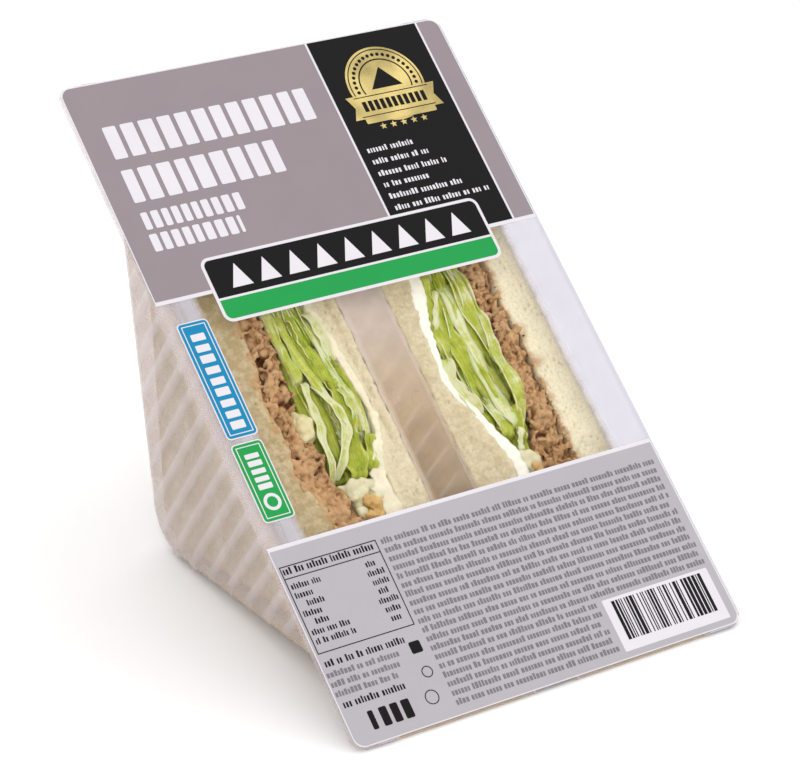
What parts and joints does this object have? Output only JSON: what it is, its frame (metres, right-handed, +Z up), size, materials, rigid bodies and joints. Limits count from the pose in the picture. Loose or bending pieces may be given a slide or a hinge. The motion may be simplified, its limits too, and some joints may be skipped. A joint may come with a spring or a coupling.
{
  "type": "wedge pack with two tuna and egg sandwich halves",
  "caption": "Sealed clear wedge tray with a printed lid film, holding two triangular sandwich halves of tuna, egg, lettuce, cream side by side, standing on its lid edge and rounded foot.",
  "frame": {"origin": "centre of the bounding box in X and Y, at the level of the surface it stands on", "axes": "+X across the lid to the right as the lid is seen, +Y away from the viewer from the lid's bottom edge to the back of the pack, +Z up; the lid faces -Y and up"},
  "size_m": [0.12, 0.1484, 0.1274],
  "materials": {
    "clear_tray": "clear, lightly tinted, thermoformed, glossy",
    "clear_film": "clear glossy lidding film",
    "ink_mauve": "satin mauve-grey print",
    "ink_black": "satin black print",
    "ink_gold": "metallic gold print",
    "ink_green": "satin green print",
    "ink_blue": "satin blue print",
    "ink_grey": "satin pale grey print",
    "ink_white": "satin white print",
    "bread": "matte open crumb, thin golden crust",
    "tuna": "moist flakes",
    "lettuce": "moist shredded leaf",
    "cream": "smooth glossy sandwich cream",
    "egg": "moist boiled egg, white and yolk"
  },
  "bodies": {
    "root": {"tray": "clear_tray", "lid_film": "clear_film", "print_top_panel": "ink_mauve", "print_band": "ink_black", "print_side_strip": "ink_mauve", "print_seal": "ink_gold", "print_banner_dark": "ink_black", "print_banner_green": "ink_green", "print_blue_tag": "ink_blue", "print_green_tag": "ink_green", "print_bottom_panel": "ink_grey", "print_code_patch": "ink_white", "left_outer_bread": "bread", "left_tuna": "tuna", "left_egg": "egg", "left_lettuce": "lettuce", "left_cream": "cream", "left_inner_bread": "bread", "right_outer_bread": "bread", "right_tuna": "tuna", "right_egg": "egg", "right_lettuce": "lettuce", "right_cream": "cream", "right_inner_bread": "bread", "left_egg_chunk": "egg"}
  },
  "joints": []
}
